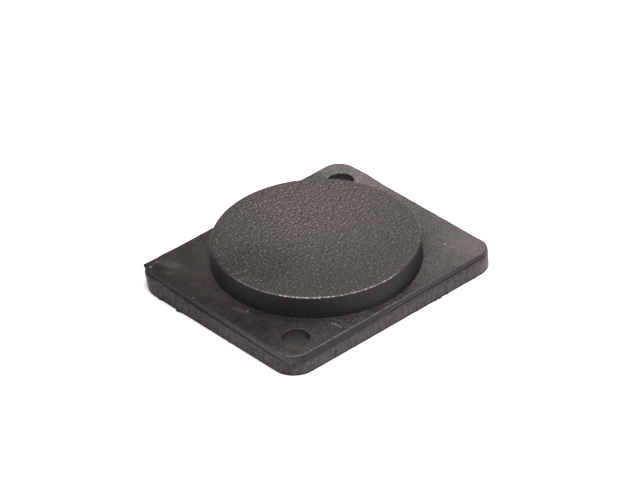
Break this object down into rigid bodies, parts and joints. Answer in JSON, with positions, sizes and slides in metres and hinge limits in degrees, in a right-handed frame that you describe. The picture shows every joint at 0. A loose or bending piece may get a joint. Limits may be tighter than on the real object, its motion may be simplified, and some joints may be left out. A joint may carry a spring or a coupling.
{
  "type": "blank cover plate",
  "caption": "Rectangular moulded plate with a raised round face and diagonal screw holes, which closes an unused round connector cut-out in a panel.",
  "frame": {"origin": "centre of the flange's flat back face", "axes": "+Z out of the raised face, away from the panel; +Y along the flange's long side; the holes lie at -X +Y and +X -Y"},
  "size_m": [0.026, 0.031, 0.0052],
  "materials": {
    "black_plastic": "spark-eroded matt, coarser on the raised face than on the flange"
  },
  "bodies": {
    "root": {"cover_plate": "black_plastic"}
  },
  "joints": []
}
